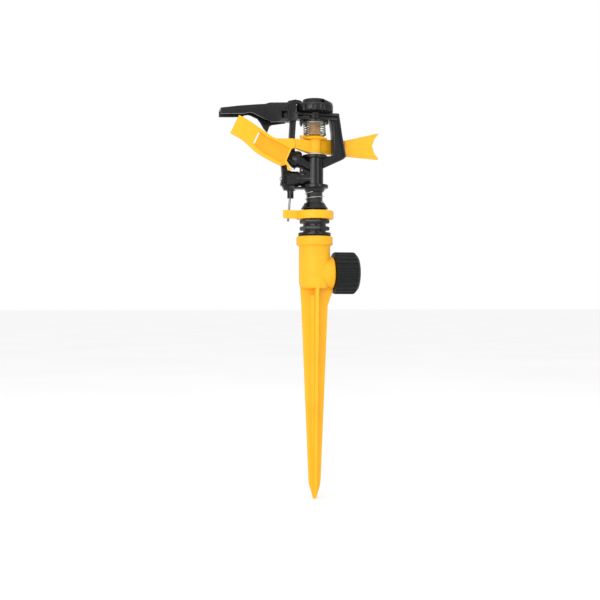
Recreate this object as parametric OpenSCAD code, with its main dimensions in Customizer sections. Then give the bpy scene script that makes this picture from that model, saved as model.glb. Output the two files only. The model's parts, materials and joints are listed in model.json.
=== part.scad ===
// Impact sprinkler on a ground spike. Millimetres, +Z up.
// The origin is on the turning axis, at ground level. The hose inlet points along +X.

/* [Ground spike] */
// Depth of the spike below ground level
spike_depth = 158.3; // [140:0.1:180]
// Reach of the spike's fins from the axis at ground level
fin_reach = 11; // [10:0.1:12]
// Thickness of the spike's fins
fin_t = 2.4; // [2:0.1:3]
// Outer radius of the socket on top of the spike
socket_r = 12.85; // [12.6:0.05:13.1]
// Height of the socket's top face
socket_top = 56; // [56:0.1:56.1]

/* [Hose inlet] */
// Height of the inlet's axis
inlet_z = 26.2; // [26:0.1:26.4]
// Outer radius over the grip ribs of the swivel nut
nut_r = 17.3; // [17:0.1:17.6]
// Number of grip ribs around the swivel nut
nut_ribs = 24; // [18:1:28]
// Crest radius of the swivel nut's inner thread
thread_minor_r = 12.1; // [12.05:0.01:12.15]
// Root radius of the swivel nut's inner thread
thread_major_r = 13.2; // [13.1:0.01:13.3]
// Pitch of the swivel nut's thread
thread_pitch = 1.814; // [1.8:0.001:1.83]

/* [Bearing] */
// Outer radius of the turning stem
stem_r = 6.6; // [6.5:0.05:6.6]
// Radius of the stem's water passage
stem_bore_r = 4.8; // [4.5:0.05:4.9]
// Radial running clearance of the stem in the nipple
run_gap = 0.06; // [0.04:0.01:0.08]
// Corner radius of the nipple's hexagon collars
hex_r = 12.3; // [12:0.1:12.4]

/* [Trip rings] */
// Outer radius of each trip ring
ring_r = 15.6; // [15.2:0.1:15.7]
// Reach of each ring's tab from the axis
tab_reach = 27.7; // [27:0.1:28]
// Direction of the lower ring's tab
tab_a_dir = 191; // [190:1:193]
// Direction of the upper ring's tab
tab_b_dir = 52; // [48:1:53]

/* [Head] */
// Outer radius of the head's body tube
tube_r = 7.2; // [7.1:0.05:7.3]
// Rise of the jet above level
jet_rise = 24; // [23:0.5:25]
// Radius of the nozzle's outlet
nozzle_r = 1.9; // [1.5:0.1:2.4]
// Depth of the bridge's legs, across the head
leg_d = 7; // [6:0.1:7]

/* [Swing arm] */
// Thickness of the swing arm's bars
bar_t = 3.6; // [3:0.1:3.8]
// Direction of the bars as they leave the hub
bar_dir = 24; // [23.5:0.5:25]
// Radius of the steel arm pin
pin_r = 2.4; // [2:0.1:2.5]
// Number of turns in the arm spring
arm_turns = 8; // [6:1:9]

/* [Hidden] */
$fn = 64;

yellow = [0.98, 0.72, 0.10];
black = [0.11, 0.11, 0.115];
rubber = [0.05, 0.05, 0.05];
steel = [0.62, 0.63, 0.65];
white = [0.92, 0.92, 0.90];

// Shared geometry of the head
jet_o = [0, 0, 111.8];      // where the jet's axis meets the turning axis
trip_z = 102.8;             // height of the trip lever's pivot
defl_x = -25.6;             // deflector's hinge
defl_z = 153.6;
nut_x0 = 15.6;
nut_x1 = 35.4;
nipple_top = 78.4;

// A round bar along +X from x0, with its axis at height z
module xrod(r, x0, x1, z, y = 0)
    translate([x0, y, z]) rotate([0, 90, 0]) cylinder(r = r, h = x1 - x0);

// A round bar along Y, centred on y
module yrod(r, x, z, len, y = 0)
    translate([x, y + len / 2, z]) rotate([90, 0, 0]) cylinder(r = r, h = len);

// A plate in the XZ plane, centred on y
module plate(pts, t, y = 0)
    translate([0, y + t / 2, 0]) rotate([90, 0, 0]) linear_extrude(height = t) polygon(pts);

// A solid or ring turned about the Z axis
module turned(pts) rotate_extrude() polygon(pts);

// A solid or ring turned about the inlet's axis; points are [radius, x]
module inlet_turned(pts)
    translate([0, 0, inlet_z]) rotate([0, 90, 0]) rotate_extrude() polygon(pts);

// A coil of round wire about the Z axis
module coil(r, wire, z0, pitch, turns, start = 0, steps = 16, sides = 6) {
    n = floor(turns * steps);
    pts = [for (i = [0:n]) let (a = start + i * 360 / steps, z = z0 + pitch * i / steps)
        for (k = [0:sides - 1]) let (b = k * 360 / sides)
            [(r + wire * cos(b)) * cos(a), (r + wire * cos(b)) * sin(a), z + wire * sin(b)]];
    faces = concat(
        [[for (k = [0:sides - 1]) k]],
        [for (i = [0:n - 1]) for (k = [0:sides - 1])
            [i * sides + k, (i + 1) * sides + k, (i + 1) * sides + (k + 1) % sides,
             i * sides + (k + 1) % sides]],
        [[for (k = [sides - 1:-1:0]) n * sides + k]]);
    polyhedron(points = pts, faces = faces, convexity = 10);
}

// ---------------------------------------------------------------- ground spike
module spike_fin()
    plate([[0, -spike_depth + 0.6], [0.9, -spike_depth], [1.6, -spike_depth + 1.6],
        [4.55, -147], [4.95, -143], [fin_reach, 2], [11.9, 14], [11.9, 22], [-11.9, 22],
        [-11.9, 14], [-fin_reach, 2], [-4.95, -143], [-4.55, -147],
        [-1.6, -spike_depth + 1.6], [-0.9, -spike_depth]], fin_t);

module spike() color(yellow) difference() {
    union() {
        spike_fin();
        rotate([0, 0, 90]) spike_fin();
        translate([0, 0, -150]) cylinder(r1 = 1.9, r2 = 4.6, h = 158);
        // socket with its rim
        turned([[0, 13.2], [10.4, 13.6], [11.9, 14.8], [12.6, 17.0], [socket_r, 20.4], [socket_r, 47.9],
            [13.6, 48.8], [14.5, 48.8], [14.9, 49.4], [14.9, 55.2], [14.2, socket_top],
            [0, socket_top]]);
        // inlet boss with its collar, neck and snap flange
        inlet_turned([[0, 0], [12.4, 0], [12.4, 12.4], [13.2, 12.9], [13.2, 14.4], [12.6, 15.1],
            [10, 15.1], [10, 19.1], [11.6, 19.1], [11.6, 20.2], [10.8, 21.5], [0, 21.5]]);
        // web under the boss
        plate([[10.4, -2], [15.0, 11.5], [15.0, 18], [8, 18], [8, -2]], fin_t);
    }
    // socket for the bearing nipple, water chamber and inlet passage
    translate([0, 0, 41]) cylinder(r = 10.6, h = 20);
    translate([0, 0, 18]) cylinder(r = 9.3, h = 24);
    xrod(6.5, 0, 30, inlet_z);
}

module inlet_nut() color(black) difference() {
    intersection() {
        union() {
            xrod(nut_r - 0.85, nut_x0, nut_x1, inlet_z);
            for (i = [0:nut_ribs - 1])
                translate([0, 0, inlet_z]) rotate([i * 360 / nut_ribs, 0, 0])
                    translate([nut_x0, 0, nut_r - 1.15]) rotate([0, 90, 0])
                        cylinder(r = 1.15, h = nut_x1 - nut_x0, $fn = 20);
        }
        inlet_turned([[0, nut_x0], [nut_r - 1.6, nut_x0], [nut_r - 0.5, nut_x0 + 0.5],
            [nut_r, nut_x0 + 1.4], [nut_r, nut_x1 - 2.6], [nut_r - 2.9, nut_x1], [0, nut_x1]]);
    }
    xrod(10.3, nut_x0 - 1, nut_x0 + 3.4, inlet_z);
    // undercut that holds the washer, then the thread
    xrod(12.7, nut_x0 + 3.3, 24.6, inlet_z);
    xrod(thread_minor_r, 24, nut_x1 + 1, inlet_z);
    for (i = [0:4]) inlet_turned([[11.5, 26.2 + i * thread_pitch - 0.72],
        [thread_minor_r, 26.2 + i * thread_pitch - 0.72], [thread_major_r, 26.2 + i * thread_pitch],
        [thread_minor_r, 26.2 + i * thread_pitch + 0.72], [11.5, 26.2 + i * thread_pitch + 0.72]]);
}

module inlet_washer() color(rubber)
    inlet_turned([[7, 21.6], [12.4, 21.6], [12.4, 23.8], [7, 23.8]]);

module inlet_filter() color(white) difference() {
    // a flanged cup that reaches back into the inlet passage
    inlet_turned([[0, 16.8], [4.6, 16.8], [6.1, 23.2], [6.1, 23.85], [10.6, 23.85], [10.6, 24.5],
        [0, 24.5]]);
    inlet_turned([[0, 17.6], [3.9, 17.6], [5.4, 23.4], [5.4, 25], [0, 25]]);
    // straining slots
    for (i = [0:7]) translate([0, 0, inlet_z]) rotate([i * 45, 0, 0])
        translate([18.4, -0.55, 2]) cube([3.8, 1.1, 8]);
    for (i = [-2:2]) translate([16, -3, inlet_z + i * 1.5 - 0.4]) cube([3, 6, 0.8]);
}

// -------------------------------------------------------------------- bearing
module nipple_gasket() color(rubber)
    turned([[10.8, 56], [13.3, 56], [13.3, 56.8], [10.8, 56.8]]);

module bearing_nipple() color(black) difference() {
    union() {
        turned([[0, 41], [9.8, 41], [10.5, 41.8], [10.5, 55.4], [10, 56.8], [13.0, 56.8],
            [13.4, 57.2], [13.4, 58.8], [13.0, 59.2], [9.4, 59.2], [9.4, 69.0], [9.0, 69.6],
            [9.0, nipple_top - 0.4], [8.7, nipple_top], [0, nipple_top]]);
        for (z = [60.9, 66.6]) intersection() {
            rotate([0, 0, 270 + 12]) translate([0, 0, z]) cylinder(r = hex_r, h = 3.3, $fn = 6);
            turned([[0, z], [11.4, z], [hex_r + 0.1, z + 0.6], [hex_r + 0.1, z + 2.7],
                [11.4, z + 3.3], [0, z + 3.3]]);
        }
    }
    translate([0, 0, 40]) cylinder(r = stem_r + run_gap, h = 40);
    // thread grooves
    for (i = [0:5]) turned([[9.9, 43.2 + i * 1.814], [11, 42.5 + i * 1.814], [11, 43.9 + i * 1.814]]);
}

module dust_cap() color(black) difference() {
    turned([[0, 78.45], [10.9, 78.45], [11.1, 78.7], [10.9, 79.2], [9.5, 81.2], [8.6, 82.9],
        [8.1, 83.6], [0, 83.6]]);
    translate([0, 0, 78]) cylinder(r = stem_r + 0.35, h = 6);
}

module stem() color(black) difference() {
    turned([[0, 36], [8.2, 36], [8.6, 36.4], [8.6, 38.1], [8.2, 38.5], [stem_r, 38.5],
        [stem_r, 95.3], [0, 95.3]]);
    translate([0, 0, 35]) cylinder(r = stem_bore_r, h = 61);
}

module stem_washer() color(white)
    turned([[stem_r + 0.05, 38.5], [8.5, 38.5], [8.5, 39.7], [stem_r + 0.05, 39.7]]);

module stem_seal() color(rubber)
    turned([[stem_r + 0.05, 39.7], [8.5, 39.7], [8.5, 40.9], [stem_r + 0.05, 40.9]]);

module stem_spring() color(steel)
    coil(7.35, 0.4, 84.05, 4.4, 1.84, start = 303, steps = 20);

// ----------------------------------------------------------------- trip rings
// A tab that the trip wire meets, with a rounded end
module ring_tab(x0, z0, z1) {
    translate([x0, -1.7, z0]) cube([tab_reach - 1.7 - x0, 3.4, z1 - z0]);
    translate([tab_reach - 1.7, 0, z0]) cylinder(r = 1.7, h = z1 - z0);
}

// The outer ring, with a floor that turns on the nipple
module lower_trip_ring() color(yellow) difference() {
    union() {
        turned([[8, 70.3], [ring_r - 0.6, 70.3], [ring_r, 70.9], [ring_r, 76.3],
            [ring_r - 0.6, 76.9], [12.7, 76.9], [12.7, 72.1], [8, 72.1]]);
        rotate([0, 0, tab_a_dir]) ring_tab(14, 70.3, 76.9);
    }
    translate([0, 0, 68]) cylinder(r = 9.06, h = 12);
}

// The inner ring, whose arm crosses over the outer one to its own tab
module upper_trip_ring() color(yellow) difference() {
    union() {
        turned([[8, 72.2], [12.0, 72.2], [12.4, 72.6], [12.4, 77.2], [8, 77.2]]);
        rotate([0, 0, tab_b_dir]) {
            translate([8.2, -1.7, 77.05]) cube([10, 3.4, 1.25]);
            ring_tab(16.2, 70.9, 78.3);
        }
    }
    translate([0, 0, 68]) cylinder(r = 9.06, h = 12);
}

// ----------------------------------------------------------------- head body
// Places children with their +Z along the jet's axis
module along_jet() translate(jet_o) rotate([0, jet_rise - 90, 0]) children();

module head_body() color(black) difference() {
    union() {
        // body tube, bottom flange and the disc under the arm
        turned([[0, 92.6], [7.5, 92.6], [7.9, 93.4], [8.9, 95.2], [11.0, 95.5], [11.2, 95.8],
            [11.2, 98.1], [10.9, 98.4], [tube_r, 98.7], [tube_r, 119.8], [9.9, 120.2],
            [10.2, 120.6], [10.2, 122.2], [9.8, 122.6], [0, 122.6]]);
        // ribs on the tube
        for (d = [-112, -58, 122]) rotate([0, 0, d]) translate([tube_r - 0.6, -0.7, 98.4])
            cube([1.2, 1.4, 21.8]);
        // neck and nozzle collar
        along_jet() rotate_extrude() polygon([[0, 0], [5.4, 0], [5.2, 14.5], [6.6, 14.6],
            [7.4, 15.8], [7.4, 17.8], [4.9, 23.3], [0, 23.3]]);
        // trip pivot lug with the spring's eyelet
        xrod(5.6, -13.4, -4, trip_z);
        plate([[-13.3, 103], [-13.3, 110.4], [-12.4, 112], [-10.8, 112], [-9.6, 110.6],
            [-4, 108], [-4, 103]], 1.8, -4);
        // stop plate beside the trip lever
        translate([-17.1, -4.5, 94.6]) cube([13, 9, 1.7]);
        // bridge: top bar with its two flanges, and the legs
        plate([[-16.2, 151.3], [12.8, 151.3], [12.9, 150.4], [14.2, 141.7], [14.9, 122.5],
            [4.5, 121.1], [4.5, 112.6], [7.1, 112], [16.3, 116.4], [23.9, 119.9], [25.9, 122],
            [22.6, 139.5], [21.4, 147.7], [20.0, 156.2], [19.2, 157], [-16.2, 157]], leg_d - 2.2);
        for (y = [-1, 1]) {
            plate([[-16.4, 154.8], [19.2, 154.8], [20.0, 156.2], [19.2, 157], [-16.4, 157]],
                1.4, y * (leg_d / 2 + 0.3));
            plate([[-16.4, 151.3], [18.2, 151.3], [18.2, 152.9], [-16.4, 152.9]],
                1.4, y * (leg_d / 2 + 0.3));
            // raised edges of the right leg
            plate([[12.8, 151.4], [12.9, 150.4], [14.2, 141.7], [14.9, 122.5], [16.7, 122.6],
                [16.0, 141.8], [14.7, 150.6], [14.5, 151.4]], 1.3, y * (leg_d / 2 - 0.64));
            plate([[25.9, 122], [22.6, 139.5], [21.4, 147.7], [20.0, 156.2], [17.9, 156.2],
                [19.5, 147.5], [20.7, 139.2], [23.9, 122]], 1.3, y * (leg_d / 2 - 0.64));
            plate([[7.1, 112], [16.3, 116.4], [23.9, 119.9], [25.9, 122], [23.9, 122.2],
                [23.0, 121.2], [15.8, 118], [6.6, 113.9]], 1.3, y * (leg_d / 2 - 0.64));
        }
        // left leg, standing on the nozzle collar
        plate([[-20.5, 152], [-20.6, 149.3], [-21.3, 138], [-21.5, 126.9], [-20.6, 122],
            [-15, 118], [-15, 121.5], [-16.9, 126], [-16.7, 138], [-15.9, 149.4], [-14.6, 152.4]],
            leg_d - 2.2);
        for (y = [-1, 1]) plate([[-19.0, 152], [-19.2, 149.3], [-19.9, 138], [-20.2, 127.2],
            [-18.2, 127.2], [-18.1, 138], [-17.4, 149.4], [-17.3, 152]], 1.3,
            y * (leg_d / 2 - 0.64));
        // deflector bracket: post, tongue over the knob, and hinge ear
        plate([[-22.6, 149.2], [-22.6, 165.6], [-16.8, 166.9], [-16.1, 166.9], [-16.4, 160],
            [-16.7, 157], [-15, 157], [-15, 151.6], [-17, 149.2]], 9.6);
        plate([[-17, 166.9], [-17, 164.1], [-11.0, 164.1], [-10.6, 165.4], [-11.6, 166.1], [-13.4, 166.9]], 6);
        plate([[-28.7, 151], [-25, 149.2], [-22, 149.2], [-22, 159.6], [-26.2, 159.6],
            [-28.7, 156.8]], 9.6);
    }
    // seat for the stem, waterway, and jet passage
    translate([0, 0, 92]) cylinder(r = stem_r + 0.03, h = 3.4);
    translate([0, 0, 94]) cylinder(r = 4.9, h = 19.6);
    along_jet() cylinder(r = 3.2, h = 13);
    along_jet() translate([0, 0, 11.8]) cylinder(r = 4.12, h = 14);
    along_jet() translate([0, 0, 23.35]) cylinder(r = 4.75, h = 3);
    // arm pin's seat
    translate([0, 0, 116.4]) cylinder(r = pin_r + 0.02, h = 8);
    // spring knob's bore through the top bar
    translate([0, 0, 148]) cylinder(r = 5.08, h = 12);
    // deflector hinge, trip pivot and spring eyelet
    yrod(1.56, defl_x, defl_z, 20);
    xrod(1.52, -16, -6.6, trip_z);
    yrod(0.85, -11.6, 110.1, 4, -4);
    // slot in the pivot lug
    translate([-12.3, -7, 106.2]) cube([4, 14, 1.1]);
}

module nozzle() color(black) along_jet() rotate_extrude()
    polygon([[3.1, 12], [4.1, 12], [4.1, 23.4], [4.6, 23.4], [4.6, 24.2], [nozzle_r + 0.7, 24.6],
        [nozzle_r, 24.2], [nozzle_r, 22.5], [3.1, 15]]);

module stream_straightener() color(white) intersection() {
    union() {
        for (d = [0, 60, 120]) rotate([0, 0, d]) translate([-4.85, -0.35, 96.2])
            cube([9.7, 0.7, 7.5]);
    }
    translate([0, 0, 96]) cylinder(r = 4.85, h = 8);
}

// ----------------------------------------------------------------- swing arm
module arm_pin() color(steel) turned([[0, 116.5], [pin_r, 116.5], [pin_r, 155.9],
    [pin_r - 0.5, 156.4], [0, 156.4]]);

module arm_washer() color(white)
    turned([[pin_r + 0.06, 122.7], [5.9, 122.7], [5.9, 123.9], [pin_r + 0.06, 123.9]]);

spoon_y = -9;
fin_y = 7.1;

// Outline of the spoon's near wall
spoon_top = [[-63.8, 151.4], [-58.4, 148.8], [-55.0, 146.9], [-51.0, 144.3], [-47.0, 141.6],
    [-42.8, 138.8], [-40.4, 137.3], [-37.2, 135.0], [-34.2, 133.8], [-28, 133.9]];
spoon_low = [[-70.8, 137.2], [-68.3, 135.6], [-63.3, 133.3], [-59.2, 130.2], [-55.0, 126.7],
    [-51.0, 123.2], [-47.0, 120.5], [-42.9, 118.2], [-39.0, 116.2], [-34.1, 113.9], [-30.0, 112]];

module arm() color(yellow) difference() {
    union() {
        // hub, sloping shoulder and spring sleeve
        turned([[0, 124.05], [5.0, 124.05], [5.3, 124.4], [5.3, 135.2], [9.4, 135.4],
            [10.2, 135.7], [10.2, 136.4], [7.6, 137.7], [5.3, 138.9], [4.8, 139.3],
            [4.8, 149.2], [0, 149.2]]);
        // bars leaving the hub
        rotate([0, 0, bar_dir]) plate([[3, 124.7], [18.2, 124.5], [18.2, 136.5], [3, 136.4]],
            bar_t);
        rotate([0, 0, bar_dir]) plate([[-3, 124.2], [-6.6, 124.1], [-12, 125.2], [-20.2, 127.1],
            [-20.2, 134.2], [-3, 134.4]], bar_t);
        // balance fin with its stiffening edges
        plate([[14.6, 136.5], [14.6, 125.0], [18.2, 124.7], [27.5, 123.6], [55.9, 121.7],
            [55.9, 122.7], [52.6, 127.0], [50.8, 132.9], [52.8, 138.7], [56.1, 142.8],
            [56.1, 143.7], [27.5, 136.7], [18.2, 136.5]], 2.4, fin_y);
        plate([[27.0, 136.3], [27.0, 124.0], [28.6, 124.0], [28.6, 136.3]], 3.8, fin_y);
        plate([[27.5, 136.7], [56.1, 143.7], [56.1, 142.8], [55.6, 142.2], [27.5, 135.5]], 3.2, fin_y);
        plate([[27.5, 123.6], [55.9, 121.7], [55.9, 122.7], [55.4, 123.3], [27.5, 124.9]], 3.2, fin_y);
        // spoon: inner panel, then the flat flap at its end
        plate(concat(spoon_top, [[-18, 134.2], [-17.6, 127.2], [-21.6, 125.6], [-24.7, 118.4],
            [-25.8, 115.2], [-25.2, 114.0], [-27.0, 112.6], [-30.0, 112]],
            [for (i = [9:-1:0]) spoon_low[i]]), 1.5, -8.55);
        plate([[-63.8, 151.4], [-58.4, 148.8], [-55.0, 146.9], [-51.0, 144.3], [-47.0, 141.6],
            [-46.8, 139.6], [-52.0, 128.6], [-53.2, 125.2], [-55.0, 126.7], [-59.2, 130.2], [-63.3, 133.3],
            [-68.3, 135.6], [-70.8, 137.2]], 2.5, -9.05);
        // raised upper flange, down to the crease
        plate([[-47.7, 142.0], [-46.9, 141.6], [-42.7, 138.8], [-40.3, 137.3], [-37.1, 135.1],
            [-34.2, 133.9], [-20, 134.1], [-17.9, 130.2], [-19.9, 126.6], [-21.6, 125.7],
            [-29.8, 129.8], [-36.0, 132.6], [-41.3, 134.6], [-46.2, 138.2], [-47.5, 138.7]],
            2.9, -9.15);
        // raised lower lip and end edge
        plate([[-55.2, 126.8], [-51.1, 123.1], [-47.1, 120.4], [-43.0, 118.1], [-39.0, 116.1],
            [-34.1, 113.8], [-30.0, 111.9], [-29.2, 114.2], [-33.2, 116.2], [-38.2, 118.6],
            [-42.0, 120.6], [-45.9, 122.9], [-49.7, 125.6], [-52.4, 128.8], [-54.0, 128.4]],
            2.7, -9.05);
        plate([[-21.0, 126.3], [-24.6, 118.4], [-25.7, 115.1], [-26.9, 115.5], [-25.8, 118.8],
            [-22.9, 126.6]], 2.3, -8.95);
        // drive vane across the jet, and the spoon's far wall
        plate([[-60.4, 144.4], [-52.6, 144.4], [-49.4, 142.0], [-50.8, 140.4], [-54.6, 142.6],
            [-57.8, 137.0], [-54.8, 132.6], [-57.2, 132.4], [-60.4, 137.0]], 13.4, -1.8);
        plate([[-61.2, 137.2], [-61.0, 143.6], [-53.0, 143.6], [-48.9, 140.9], [-52, 134.2],
            [-55.4, 132.0]], 1.6, 4.8);
        // trip finger
        plate([[-27.2, 116.2], [-25.2, 116.2], [-23.4, 113.6], [-22.6, 110.5], [-20.8, 110.1],
            [-20.5, 109.0], [-23.9, 108.8], [-24.4, 109.4], [-24.6, 112.4], [-26.6, 114.0]],
            1.9, -8.75);
        // spring lug
        plate([[-12.2, 138.6], [-6, 138.6], [-6, 133.8], [-11.2, 133.9]], 3.0);
    }
    translate([0, 0, 120]) cylinder(r = pin_r + 0.07, h = 32);
    // slit between the flap and the panel
    plate([[-48.1, 138.6], [-46.9, 138.3], [-51.0, 129.2], [-52.4, 129.6]], 6, -9);
    // hole in the spring lug
    yrod(0.7, -9.6, 136.6, 8);
}

module arm_spring() color(steel)
    coil(8.9, 0.45, 139.15, (149.1 - 139.15) / arm_turns, arm_turns, start = 180, steps = 14);

// ------------------------------------------------------- spring tension knob
module tension_cap() color(black) difference() {
    union() {
        turned([[0, 157.3], [14.4, 157.3], [15.1, 157.8], [15.3, 158.6], [15.3, 162.8],
            [14.8, 163.5], [9.9, 163.7], [9.9, 167.0], [9.4, 167.9], [6.5, 168.4], [0, 168.6]]);
        // sloping shoulder on one side
        intersection() {
            turned([[0, 163], [15.0, 163], [14.9, 164.5], [13.6, 165.6], [10.6, 167.2],
                [0, 167.4]]);
            translate([5.5, -12, 162.6]) cube([12, 24, 6]);
        }
        translate([0, 0, 149.6]) cylinder(r = 5.0, h = 9);
    }
    // grip flutes on both tiers
    for (i = [0:11]) rotate([0, 0, 15 + i * 30]) translate([16.7, 0, 156])
        cylinder(r = 2.0, h = 6.2, $fn = 32);
    for (i = [0:15]) rotate([0, 0, i * 22.5]) translate([10.4, 0, 166.95])
        cylinder(r = 0.9, h = 4, $fn = 20);
    // blind bore over the arm pin
    translate([0, 0, 149]) cylinder(r = pin_r + 0.08, h = 7.8);
    // screwdriver slot in the top
    translate([-5, -0.7, 167.7]) cube([10, 1.4, 2]);
}

module spring_seat() color(black) difference() {
    union() {
        turned([[0, 149.6], [9.3, 149.6], [9.6, 149.9], [9.6, 150.8], [9.3, 151.1], [0, 151.1]]);
        // anchor lugs of the spring
        plate([[-12.3, 151.0], [-8.6, 151.0], [-8.6, 149.6], [-10.2, 149.4], [-10.4, 147.0],
            [-11.0, 145.9], [-12.2, 148.0]], 4.6);
        plate([[8.6, 151.0], [11.2, 151.0], [11.4, 148.4], [9.9, 148.2], [9.9, 149.6],
            [8.6, 149.6]], 4.6);
    }
    translate([0, 0, 149]) cylinder(r = 5.03, h = 3);
}

// ------------------------------------------------------------------ deflector
defl_top = [[-78, 157.4], [-71.5, 158.4], [-62.7, 159.7], [-48.9, 161.2], [-42.4, 161.8],
    [-38.3, 163.1], [-23.3, 163.8]];
defl_low = [[-23.3, 148.2], [-36.7, 147.6], [-41.6, 149.4], [-46.5, 151.8], [-52.2, 154.3],
    [-54.6, 154.7], [-57, 154.2], [-59.5, 153.4], [-78, 152.7]];

module deflector_shell() difference() {
    union() {
        plate(concat(defl_top, defl_low), 1.8, -6.25);
        // raised band along the near wall's lower edge
        plate([[-78, 152.7], [-59.5, 153.4], [-59.5, 154.6], [-78, 153.9]], 2.2, -6.4);
        // far wall with its stream-breaking prong
        plate(concat(defl_top, [[-23.3, 149.0], [-26.4, 148.5], [-34.4, 147.2], [-36.4, 146.0],
            [-38.4, 140.9], [-41.4, 144.2], [-44.0, 148.6], [-46.5, 151.8], [-52.2, 154.3],
            [-54.6, 154.7], [-57, 154.2], [-59.5, 152.8], [-78, 152.1]]), 1.8, 6.25);
        // top wall
        plate(concat(defl_top, [[-23.3, 161.9], [-38.3, 161.2], [-42.4, 159.9], [-48.9, 159.3],
            [-62.7, 157.8], [-71.5, 156.5], [-78, 155.5]]), 13.6);
        // cross rib
        translate([-47, -6, 156.2]) cube([1.6, 12, 5]);
    }
    // recess around the hinge boss
    translate([-28.8, -9, 151.3]) cube([5.0, 3.0, 5.5]);
    // the tip is cut slightly askew
    translate([-78, -7.15, 140]) rotate([0, 0, 11]) translate([-10, -2, 0]) cube([10, 30, 30]);
    yrod(1.51, defl_x, defl_z, 20);
}

module deflector() color(black) {
    deflector_shell();
    // hinge boss in the recess
    difference() {
        plate([[-26.9, 151.3], [-26.1, 155.4], [-24.5, 155.4], [-23.8, 151.3]], 1.5, -6.3);
        yrod(1.51, defl_x, defl_z, 20);
    }
}

module deflector_pin() color(steel) yrod(1.5, defl_x, defl_z, 14.2);

// -------------------------------------------------------------- trip mechanism
module trip_lever() color(black) difference() {
    union() {
        xrod(6.3, -24, -13.8, trip_z);
        plate([[-27.8, 113.4], [-27.2, 114.1], [-23.2, 114.1], [-22.5, 113.4], [-22.4, 109.6],
            [-20, 109], [-20, 96], [-22.6, 93.2], [-25.4, 93.4], [-26.2, 95], [-27.0, 96.8],
            [-28.4, 97.4], [-28.4, 98.4], [-27.7, 102], [-27.3, 106], [-27.4, 109]], 5.2);
        translate([-20.15, 0, 86.9]) cylinder(r = 2.6, h = 12);
        translate([-22.7, -2.6, 92.6]) cube([4.9, 5.2, 5]);
        plate([[-18.6, 94.3], [-15.6, 93.9], [-18.6, 92.6]], 2.4);
    }
    xrod(1.56, -30, -13, trip_z);
    // seat of the wire, and the slot below it
    translate([-19.74, 0, 97]) rotate([0, 4.9, 0]) translate([0, 0, -12])
        cylinder(r = 0.93, h = 12.2);
    translate([-20.9, -4, 84]) cube([1.3, 8, 6]);
    // lightening pocket in the hook
    translate([-26.2, -3, 98.2]) cube([1.5, 1.4, 10]);
    translate([-26.2, 1.6, 98.2]) cube([1.5, 1.4, 10]);
}

module trip_wire() color(steel)
    translate([-19.74, 0, 97]) rotate([0, 4.9, 0]) translate([0, 0, -29])
        cylinder(r = 0.9, h = 29);

module trip_pivot_pin() color(steel) xrod(1.5, -28.9, -6.8, trip_z);

// A round wire swept along a path; the rings stay square to the path's chords
function unit(v) = v / norm(v);
module swept(path, r, sides = 8) {
    n = len(path) - 1;
    pts = [for (i = [0:n]) let (
            t = unit(path[min(i + 1, n)] - path[max(i - 1, 0)]),
            u = unit(cross(t, [0.31, 0.2, 0.93])), v = cross(t, u))
        for (k = [0:sides - 1]) let (b = k * 360 / sides) path[i] + r * (u * cos(b) + v * sin(b))];
    faces = concat(
        [[for (k = [sides - 1:-1:0]) k]],
        [for (i = [0:n - 1]) for (k = [0:sides - 1])
            [i * sides + k, i * sides + (k + 1) % sides, (i + 1) * sides + (k + 1) % sides,
             (i + 1) * sides + k]],
        [[for (k = [0:sides - 1]) n * sides + k]]);
    polyhedron(points = pts, faces = faces, convexity = 10);
}

// Points of a smooth curve through four control points
function bez(p, t) = pow(1 - t, 3) * p[0] + 3 * t * pow(1 - t, 2) * p[1]
    + 3 * t * t * (1 - t) * p[2] + pow(t, 3) * p[3];

module trip_spring() color(steel)
    swept(concat([[-11.6, -3.2, 110.1], [-11.6, -4.6, 110.1]],
        [for (i = [0:10]) bez([[-11.6, -5.8, 110.2], [-12.3, -8.2, 110.6], [-17.2, -8.0, 113.4],
            [-18.2, -4.6, 109.9]], i / 10)]), 0.4);

spike();
inlet_nut();
inlet_washer();
inlet_filter();
nipple_gasket();
bearing_nipple();
dust_cap();
stem();
stem_washer();
stem_seal();
stem_spring();
lower_trip_ring();
upper_trip_ring();
head_body();
nozzle();
stream_straightener();
arm_pin();
arm();
arm_washer();
arm_spring();
tension_cap();
spring_seat();
deflector();
deflector_pin();
trip_lever();
trip_wire();
trip_pivot_pin();
trip_spring();
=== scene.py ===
import bpy, bmesh, json, math, random
from mathutils import Vector, Matrix, Quaternion


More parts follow.
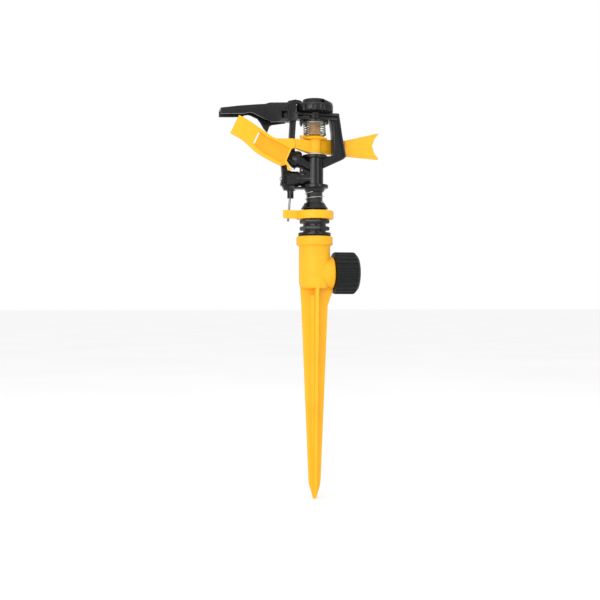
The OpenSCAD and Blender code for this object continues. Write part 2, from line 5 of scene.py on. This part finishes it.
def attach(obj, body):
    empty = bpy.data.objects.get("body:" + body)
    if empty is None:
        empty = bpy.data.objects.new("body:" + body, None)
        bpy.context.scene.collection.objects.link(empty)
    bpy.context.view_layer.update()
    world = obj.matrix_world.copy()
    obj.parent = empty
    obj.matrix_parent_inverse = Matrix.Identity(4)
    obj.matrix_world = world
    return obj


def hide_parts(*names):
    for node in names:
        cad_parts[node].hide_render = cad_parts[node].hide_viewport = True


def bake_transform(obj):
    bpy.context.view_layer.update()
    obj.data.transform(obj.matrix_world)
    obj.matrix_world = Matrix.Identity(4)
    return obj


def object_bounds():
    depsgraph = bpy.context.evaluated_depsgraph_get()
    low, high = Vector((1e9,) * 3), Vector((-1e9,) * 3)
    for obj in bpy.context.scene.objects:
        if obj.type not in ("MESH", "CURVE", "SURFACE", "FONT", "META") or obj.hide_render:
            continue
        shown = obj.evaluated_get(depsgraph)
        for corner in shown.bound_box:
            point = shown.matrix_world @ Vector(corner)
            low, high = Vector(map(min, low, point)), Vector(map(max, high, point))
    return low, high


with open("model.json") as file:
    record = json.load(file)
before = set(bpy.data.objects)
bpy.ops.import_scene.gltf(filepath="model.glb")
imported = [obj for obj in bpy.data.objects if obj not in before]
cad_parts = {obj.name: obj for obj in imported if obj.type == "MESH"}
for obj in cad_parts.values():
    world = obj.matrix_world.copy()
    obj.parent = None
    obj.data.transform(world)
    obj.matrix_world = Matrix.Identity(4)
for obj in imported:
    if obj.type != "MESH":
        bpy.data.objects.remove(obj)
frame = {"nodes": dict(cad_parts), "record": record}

CAD_BOX = [list(map(float, c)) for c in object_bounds()]
N = frame["nodes"]
MM = 0.001
scene = bpy.context.scene

# ------------------------------------------------------------------ camera
AZ = math.radians(-12)
DIST, SIDE, EYE = 795.4 * MM, -11.89 * MM, 4.1 * MM
vdir = Vector((-math.sin(AZ), math.cos(AZ), 0))
side = Vector((math.cos(AZ), math.sin(AZ), 0))
cam_data = bpy.data.cameras.new("camera")
cam_data.lens = 36 * 970 / 600
cam_data.sensor_width = 36
cam_data.clip_start = 0.01
cam_data.clip_end = 20
cam_data.dof.use_dof = False
cam = bpy.data.objects.new("camera", cam_data)
scene.collection.objects.link(cam)
cam.location = -DIST * vdir + SIDE * side + Vector((0, 0, EYE))
cam.rotation_euler = vdir.to_track_quat("-Z", "Y").to_euler()
scene.camera = cam
scene.view_settings.view_transform = "Standard"
scene.view_settings.look = "None"


# --------------------------------------------------------------- materials
def lin(c):
    c = c / 255
    return c / 12.92 if c <= 0.04045 else ((c + 0.055) / 1.055) ** 2.4


def rgb(r, g, b):
    return (lin(r), lin(g), lin(b), 1)


class Tree:
    def __init__(self, name):
        self.mat = bpy.data.materials.new(name)
        self.mat.use_nodes = True
        self.t = self.mat.node_tree
        self.t.nodes.clear()
        self.out = self.t.nodes.new("ShaderNodeOutputMaterial")
        self.bsdf = self.t.nodes.new("ShaderNodeBsdfPrincipled")
        self.t.links.new(self.bsdf.outputs[0], self.out.inputs[0])
        self.tc = self.t.nodes.new("ShaderNodeTexCoord")

    def new(self, kind, **kw):
        n = self.t.nodes.new(kind)
        for k, v in kw.items():
            setattr(n, k, v)
        return n

    def link(self, a, b):
        self.t.links.new(a, b)

    def noise(self, scale, detail=3, rough=0.55, stretch=None, offset=(0, 0, 0)):
        n = self.new("ShaderNodeTexNoise")
        n.inputs["Scale"].default_value = scale
        n.inputs["Detail"].default_value = detail
        n.inputs["Roughness"].default_value = rough
        m = self.new("ShaderNodeMapping")
        m.inputs["Location"].default_value = offset
        if stretch:
            m.inputs["Scale"].default_value = stretch
        self.link(self.tc.outputs["Object"], m.inputs["Vector"])
        self.link(m.outputs[0], n.inputs["Vector"])
        return n.outputs["Fac"]

    def ramp(self, fac, stops):
        r = self.new("ShaderNodeValToRGB")
        e = r.color_ramp.elements
        e[0].position, e[0].color = stops[0]
        e[1].position, e[1].color = stops[-1]
        for p, c in stops[1:-1]:
            x = e.new(p)
            x.color = c
        self.link(fac, r.inputs[0])
        return r.outputs[0]

    def mathn(self, op, a, b=None, clamp=False):
        m = self.new("ShaderNodeMath", operation=op)
        m.use_clamp = clamp
        for i, v in enumerate((a, b)):
            if v is None:
                continue
            if isinstance(v, (int, float)):
                m.inputs[i].default_value = v
            else:
                self.link(v, m.inputs[i])
        return m.outputs[0]

    def mix(self, fac, a, b):
        m = self.new("ShaderNodeMix", data_type="RGBA")
        for sock, v in ((m.inputs[0], fac), (m.inputs[6], a), (m.inputs[7], b)):
            if isinstance(v, (int, float)):
                sock.default_value = v
            elif isinstance(v, tuple):
                sock.default_value = v
            else:
                self.link(v, sock)
        return m.outputs[2]

    def bump(self, height, strength, distance, normal=None):
        b = self.new("ShaderNodeBump")
        b.inputs["Strength"].default_value = strength
        b.inputs["Distance"].default_value = distance
        self.link(height, b.inputs["Height"])
        if normal is not None:
            self.link(normal, b.inputs["Normal"])
        return b.outputs[0]


def grey(v):
    return (v, v, v, 1)


def plastic(name, base, dark, light, rough=0.42, grain=0.5, wear=0.35, spec=0.5):
    """Moulded plastic: cloudy colour, fine spark texture, scuffs and paler worn edges."""
    T = Tree(name)
    cloud = T.noise(28, 3, 0.6)
    col = T.ramp(cloud, [(0.30, dark), (0.52, base), (0.74, base)])
    # fine flow lines from moulding
    flow = T.noise(60, 2, 0.5, stretch=(1.0, 1.0, 0.16), offset=(0.3, 0.1, 0.7))
    col = T.mix(T.ramp(flow, [(0.45, grey(0.0)), (0.75, grey(0.18))]), col, light)
    geo = T.new("ShaderNodeNewGeometry")
    edge = T.ramp(geo.outputs["Pointiness"], [(0.515, grey(0.0)), (0.58, grey(1.0))])
    chips = T.ramp(T.noise(260, 4, 0.7), [(0.40, grey(0.15)), (0.65, grey(1.0))])
    worn = T.mathn("MULTIPLY", T.mathn("MULTIPLY", edge, chips), wear)
    col = T.mix(worn, col, light)
    specks = T.ramp(T.noise(900, 2, 0.5), [(0.70, grey(0.0)), (0.76, grey(0.35))])
    col = T.mix(specks, col, dark)
    T.link(col, T.bsdf.inputs["Base Color"])
    r = T.noise(75, 4, 0.65, offset=(0.5, 0.2, 0.1))
    scuff = T.ramp(T.noise(55, 5, 0.7, stretch=(1, 1, 0.12)), [(0.58, grey(0.0)), (0.66, grey(0.22))])
    rr = T.mathn("ADD", T.mathn("MULTIPLY", r, 0.22), rough - 0.11)
    rr = T.mathn("ADD", rr, T.mathn("MULTIPLY", scuff, 0.6), clamp=True)
    T.link(rr, T.bsdf.inputs["Roughness"])
    T.bsdf.inputs["IOR"].default_value = 1.5
    T.bsdf.inputs["Specular IOR Level"].default_value = spec
    fine = T.noise(1500, 2, 0.5)
    b1 = T.bump(fine, grain, 0.00004)
    b2 = T.bump(T.noise(110, 2, 0.5), 0.25, 0.00008, b1)
    T.link(b2, T.bsdf.inputs["Normal"])
    return T.mat


def metal(name, base, rough=0.32, scratch=0.5):
    T = Tree(name)
    col = T.ramp(T.noise(180, 4, 0.6), [(0.3, tuple(c * 0.72 for c in base[:3]) + (1,)), (0.7, base)])
    tarnish = T.ramp(T.noise(420, 3, 0.7, offset=(1, 2, 3)), [(0.60, grey(0.0)), (0.72, grey(0.5))])
    col = T.mix(tarnish, col, (0.16, 0.13, 0.10, 1))
    T.link(col, T.bsdf.inputs["Base Color"])
    T.bsdf.inputs["Metallic"].default_value = 1.0
    rr = T.mathn("ADD", T.mathn("MULTIPLY", T.noise(300, 3, 0.6), 0.28), rough - 0.14, clamp=True)
    T.link(rr, T.bsdf.inputs["Roughness"])
    T.link(T.bump(T.noise(900, 2, 0.5, stretch=(1, 1, 0.1)), scratch, 0.00003), T.bsdf.inputs["Normal"])
    return T.mat


def rubber_mat(name):
    T = Tree(name)
    T.link(T.ramp(T.noise(90, 3, 0.6), [(0.3, grey(0.010)), (0.7, grey(0.028))]), T.bsdf.inputs["Base Color"])
    T.link(T.mathn("ADD", T.mathn("MULTIPLY", T.noise(200, 3, 0.6), 0.2), 0.6), T.bsdf.inputs["Roughness"])
    T.bsdf.inputs["Specular IOR Level"].default_value = 0.3
    T.link(T.bump(T.noise(1200, 3, 0.6), 0.5, 0.00005), T.bsdf.inputs["Normal"])
    return T.mat


YELLOW = plastic("yellow_moulded", rgb(240, 175, 16), rgb(234, 168, 12), rgb(248, 188, 44), rough=0.44, grain=0.30, wear=0.30, spec=0.35)
YELLOW_SPIKE = plastic("yellow_spike", rgb(240, 176, 24), rgb(234, 169, 17), rgb(248, 189, 54), rough=0.48, grain=0.35, wear=0.35, spec=0.32)
BLACK = plastic("black_moulded", (0.0040, 0.0040, 0.0043, 1), grey(0.002), grey(0.032), rough=0.23, grain=0.34, wear=0.32, spec=0.34)
BLACK_NUT = plastic("black_nut", (0.0040, 0.0052, 0.0054, 1), grey(0.003), (0.020, 0.023, 0.024, 1), rough=0.44, grain=0.45, wear=0.30, spec=0.20)
BLACK_STEM = plastic("black_polished", grey(0.004), grey(0.002), grey(0.03), rough=0.17, grain=0.18, wear=0.22, spec=0.52)
WHITE = plastic("white_moulded", grey(0.72), grey(0.62), grey(0.80), rough=0.45, grain=0.3, wear=0.2, spec=0.4)
RUBBER = rubber_mat("rubber")
STEEL = metal("steel_wire", (0.60, 0.59, 0.57, 1), rough=0.30)
SPRING_STEEL = metal("spring_steel", (0.34, 0.31, 0.27, 1), rough=0.36)
WIRE_STEEL = metal("wire_steel", (0.30, 0.30, 0.30, 1), rough=0.38)
DARK_STEEL = metal("dark_steel", (0.10, 0.10, 0.10, 1), rough=0.42)
# painted shade: a darker yellow for the spoon's recessed panel, standing in for the shade inside the recess
YELLOW_PANEL_SHADE = plastic("yellow_panel_painted_shade", rgb(236, 158, 8), rgb(230, 152, 6), rgb(242, 174, 26), rough=0.46, grain=0.30, wear=0.25, spec=0.30)
# painted shade: a near-black for the floor of the deflector's recess around the hinge pin
BLACK_RECESS_SHADE = plastic("black_painted_recess_shade", grey(0.0018), grey(0.001), grey(0.004), rough=0.7, grain=0.3, wear=0.1, spec=0.04)
# painted shade: an ochre yellow for the hub sleeve inside the arm spring, standing in for the shade of the coil in
# front of it
SLEEVE_COIL_SHADE = plastic("sleeve_painted_coil_shade", rgb(236, 160, 40), rgb(215, 140, 30), rgb(250, 190, 80), rough=0.40, grain=0.3, wear=0.3, spec=0.4)

MAT = {"spike": YELLOW_SPIKE, "inlet_nut": BLACK_NUT, "inlet_washer": RUBBER, "inlet_filter": WHITE,
       "nipple_gasket": RUBBER, "bearing_nipple": BLACK, "dust_cap": BLACK, "stem": BLACK_STEM,
       "stem_washer": WHITE, "stem_seal": RUBBER, "stem_spring": STEEL, "lower_trip_ring": YELLOW,
       "upper_trip_ring": YELLOW, "head_body": BLACK, "nozzle": BLACK, "stream_straightener": WHITE,
       "arm_pin": STEEL, "arm": YELLOW, "arm_washer": WHITE, "arm_spring": SPRING_STEEL,
       "tension_cap": BLACK, "spring_seat": BLACK, "deflector": BLACK, "deflector_pin": BLACK,
       "trip_lever": BLACK, "trip_wire": WIRE_STEEL, "trip_pivot_pin": STEEL, "trip_spring": STEEL}
BODY = {n: b for b, ns in frame["record"]["behaviour"]["bodies"].items() for n in ns}


# ------------------------------------------------------------ mesh helpers
def finish_piece(ob, node, body=None, mats=None, slot=None, replaces=True):
    scene.collection.objects.link(ob)
    if not ob.data.materials:
        for m in (mats or [MAT[node]]):
            ob.data.materials.append(m)
    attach(ob, body or BODY[node])
    if replaces:
        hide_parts(node)
    return ob


def shade(bm, me, sharp=38):
    bm.normal_update()
    for f in bm.faces:
        f.smooth = True
    lim = math.radians(sharp)
    for e in bm.edges:
        e.smooth = not (len(e.link_faces) == 2 and e.calc_face_angle(0) > lim)
    bm.to_mesh(me)
    bm.free()
    me.validate()
    me.update()


def remake(node, bevel=0.25, seg=2, angle=28, edit=None, sharp=38, outer=False, **kw):
    """A finished copy of a CAD node: clean flat faces and softly rounded moulded edges."""
    bm = bmesh.new()
    bm.from_mesh(N[node].data)
    bmesh.ops.remove_doubles(bm, verts=bm.verts, dist=3e-6)
    bmesh.ops.dissolve_limit(bm, angle_limit=math.radians(0.5), verts=bm.verts, edges=bm.edges)
    if bevel:
        lim = math.radians(angle)
        edges = [e for e in bm.edges if len(e.link_faces) == 2 and e.calc_face_angle(0) > lim
                 and (e.is_convex or not outer)]
        bmesh.ops.bevel(bm, geom=edges, offset=bevel * MM, segments=seg, profile=0.55,
                        affect="EDGES", clamp_overlap=True, loop_slide=True)
    if edit:
        bm.normal_update()
        edit(bm)
    bmesh.ops.dissolve_degenerate(bm, edges=bm.edges, dist=1e-6)
    me = bpy.data.meshes.new(node + "_mesh")
    for m in kw.get("mats") or [MAT[node]]:
        me.materials.append(m)
    shade(bm, me, sharp)
    return finish_piece(bpy.data.objects.new(node + "_body", me), node, **kw)


def tube_bm(bm, pts, r, sides=12, taper=None):
    """Sweeps a round wire along pts with parallel-carried rings, closed at both ends."""
    n = len(pts)
    rings = []
    up = Vector((0.13, 0.31, 0.94))
    prev = None
    for i, p in enumerate(pts):
        t = (pts[min(i + 1, n - 1)] - pts[max(i - 1, 0)]).normalized()
        if prev is None:
            u = t.cross(up).normalized()
        else:
            u = (prev - prev.dot(t) * t).normalized()
        prev = u
        v = t.cross(u)
        rr = r * (taper(i / (n - 1)) if taper else 1)
        rings.append([bm.verts.new(p + rr * (math.cos(2 * math.pi * k / sides) * u + math.sin(2 * math.pi * k / sides) * v))
                      for k in range(sides)])
    for a, b in zip(rings, rings[1:]):
        for k in range(sides):
            bm.faces.new((a[k], a[(k + 1) % sides], b[(k + 1) % sides], b[k]))
    bm.faces.new(list(reversed(rings[0])))
    bm.faces.new(rings[-1])
    return rings


def wire_piece(name, node, pts, r, sides=12, mats=None, **kw):
    bm = bmesh.new()
    tube_bm(bm, pts, r * MM, sides)
    bmesh.ops.recalc_face_normals(bm, faces=bm.faces)
    me = bpy.data.meshes.new(name)
    shade(bm, me, 50)
    return finish_piece(bpy.data.objects.new(name, me), node, mats=mats, **kw)


def helix(r, z0, z1, turns, start, steps=36, closed=0.0, lean=(0, 0)):
    """Points of a coil; closed is the share of each end wound flat."""
    n = int(turns * steps)
    pts = []
    for i in range(n + 1):
        f = i / n
        if closed > 0:
            g = min(max((f - closed) / (1 - 2 * closed), 0), 1)
            g = 0.85 * g * g * (3 - 2 * g) + 0.15 * f
        else:
            g = f
        a = math.radians(start) + f * turns * 2 * math.pi
        z = z0 + (z1 - z0) * g
        pts.append(Vector(((r * math.cos(a) + lean[0] * (2 * f - 1)) * MM, (r * math.sin(a) + lean[1] * (2 * f - 1)) * MM, z * MM)))
    return pts


# ------------------------------------------------------------------ pieces
remake("spike", bevel=0.45, seg=3, angle=25)
remake("inlet_nut", bevel=0.12, seg=2, angle=30)
remake("inlet_washer", bevel=0.2)
remake("inlet_filter", bevel=0.06, seg=1)
remake("nipple_gasket", bevel=0.1)
remake("bearing_nipple", bevel=0.18, angle=24)
remake("dust_cap", bevel=0.15)
remake("stem", bevel=0.2)
remake("stem_washer", bevel=0.1)
remake("stem_seal", bevel=0.15)
remake("lower_trip_ring", bevel=0.3, seg=3)
remake("upper_trip_ring", bevel=0.3, seg=3)
remake("head_body", bevel=0.22, seg=2, outer=True)
remake("nozzle", bevel=0.1)
remake("stream_straightener", bevel=0.05, seg=1)
remake("arm_pin", bevel=0.2)


def paint_coil_and_panel_shade(bm):
    for f in bm.faces:
        c = f.calc_center_median()
        # the hub sleeve inside the spring gets the painted coil shade
        if c.z > 0.1392 and math.hypot(c.x, c.y) < 0.0052:
            f.material_index = 1
        # the spoon's recessed panel faces get the painted shade
        elif f.normal.y < -0.9 and -0.00945 < c.y < -0.00915 and -0.0535 < c.x < -0.020:
            f.material_index = 2


remake("arm", bevel=0.3, seg=3, edit=paint_coil_and_panel_shade, mats=[YELLOW, SLEEVE_COIL_SHADE, YELLOW_PANEL_SHADE])
remake("arm_washer", bevel=0.1)
remake("tension_cap", bevel=0.18)
remake("spring_seat", bevel=0.15)


def paint_recess_shade(bm):
    for f in bm.faces:
        c = f.calc_center_median()
        # the recess floor beside the deflector's hinge pin gets the painted shade
        if -0.0289 < c.x < -0.0236 and 0.1512 < c.z < 0.1569 and -0.00705 < c.y < -0.0056:
            f.material_index = 1


remake("deflector", bevel=0.25, seg=3, edit=paint_recess_shade, mats=[BLACK, BLACK_RECESS_SHADE])
remake("deflector_pin", bevel=0.2)


def ease_tip(bm):
    # the small tip beside the stop plate sits a touch lower, clear of the plate when the lever tips
    for v in bm.verts:
        if v.co.x > -0.0170 and 0.0925 < v.co.z < 0.0945:
            v.co.z -= 0.0004


remake("trip_lever", bevel=0.25, outer=True, edit=ease_tip)
remake("trip_wire", bevel=0.15)
remake("trip_pivot_pin", bevel=0.2)

wire_piece("stem_coil", "stem_spring", helix(7.35, 84.05, 92.1, 1.84, 303, steps=48), 0.43, 14)
arm_coil = bpy.data.objects.new("arm_coil", bpy.data.meshes.new("arm_coil"))
bm = bmesh.new()
tube_bm(bm, helix(8.9, 139.2, 149.05, 8.4, 180, steps=40, closed=0.07, lean=(-0.35, 0)), 0.44 * MM, 10)
bmesh.ops.recalc_face_normals(bm, faces=bm.faces)
shade(bm, arm_coil.data, 50)
scene.collection.objects.link(arm_coil)
arm_coil.data.materials.append(SPRING_STEEL)
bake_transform(arm_coil)
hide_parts("arm_spring")


def bez(p, t):
    return (1 - t) ** 3 * p[0] + 3 * t * (1 - t) ** 2 * p[1] + 3 * t * t * (1 - t) * p[2] + t ** 3 * p[3]


ctrl = [Vector(c) * MM for c in ((-11.6, -5.8, 110.2), (-12.3, -8.2, 110.6), (-17.2, -8.0, 113.4), (-18.2, -4.6, 109.9))]
wire_piece("trip_coil", "trip_spring", [Vector((-11.6, -3.2, 110.1)) * MM, Vector((-11.6, -4.6, 110.1)) * MM]
           + [bez(ctrl, i / 24) for i in range(25)], 0.38, 12, mats=[DARK_STEEL])

# ------------------------------------------------------------------- stage
low = min(c[2] for c in CAD_BOX)
bm = bmesh.new()
bmesh.ops.create_grid(bm, x_segments=2, y_segments=2, size=15)
me = bpy.data.meshes.new("floor")
bm.to_mesh(me)
bm.free()
floor = bpy.data.objects.new("floor", me)
scene.collection.objects.link(floor)
floor.location = (0, 0, low - 0.0003)
ft = Tree("pale_floor")
ft.link(ft.ramp(ft.noise(3, 2), [(0.3, grey(0.955)), (0.7, grey(0.985))]), ft.bsdf.inputs["Base Color"])
ft.bsdf.inputs["Roughness"].default_value = 0.85
ft.bsdf.inputs["Specular IOR Level"].default_value = 0.1
floor.data.materials.append(ft.mat)

world = bpy.data.worlds.new("studio")
scene.world = world
world.use_nodes = True
wt = world.node_tree
wt.nodes.clear()
wo = wt.nodes.new("ShaderNodeOutputWorld")
lp = wt.nodes.new("ShaderNodeLightPath")
b1 = wt.nodes.new("ShaderNodeBackground")
b1.inputs[0].default_value = (1, 1, 1, 1)
b1.inputs[1].default_value = 0.74
b2 = wt.nodes.new("ShaderNodeBackground")
b2.inputs[0].default_value = (1, 1, 1, 1)
b2.inputs[1].default_value = 1.0
mx = wt.nodes.new("ShaderNodeMixShader")
wt.links.new(lp.outputs["Is Camera Ray"], mx.inputs[0])
wt.links.new(b1.outputs[0], mx.inputs[1])
wt.links.new(b2.outputs[0], mx.inputs[2])
wt.links.new(mx.outputs[0], wo.inputs[0])


def area(name, loc, target, size, power, size_y=None):
    d = bpy.data.lights.new(name, "AREA")
    d.shape = "RECTANGLE"
    d.size = size
    d.size_y = size_y or size
    d.energy = power
    o = bpy.data.objects.new(name, d)
    scene.collection.objects.link(o)
    o.location = Vector(loc)
    o.rotation_euler = (Vector(target) - Vector(loc)).to_track_quat("-Z", "Y").to_euler()
    return o


area("key", (-0.80, -0.85, 0.18), (0, 0, 0.07), 0.42, 1.8, size_y=0.36)
area("fill", (0.62, -1.0, 0.30), (0, 0, 0.08), 0.45, 1.5)
area("top", (0.05, 0.15, 1.1), (0, 0, 0.05), 0.8, 1.4)
area("strip", (-0.50, -1.12, 0.28), (0, 0, 0.12), 0.50, 2.5, size_y=0.34)
sun = bpy.data.lights.new("soft_sky", "SUN")
sun.energy = 0.9
sun.angle = math.radians(100)
sky = bpy.data.objects.new("soft_sky", sun)
scene.collection.objects.link(sky)
sky.rotation_euler = Vector((0.45, 0.6, -1.0)).to_track_quat("-Z", "Y").to_euler()
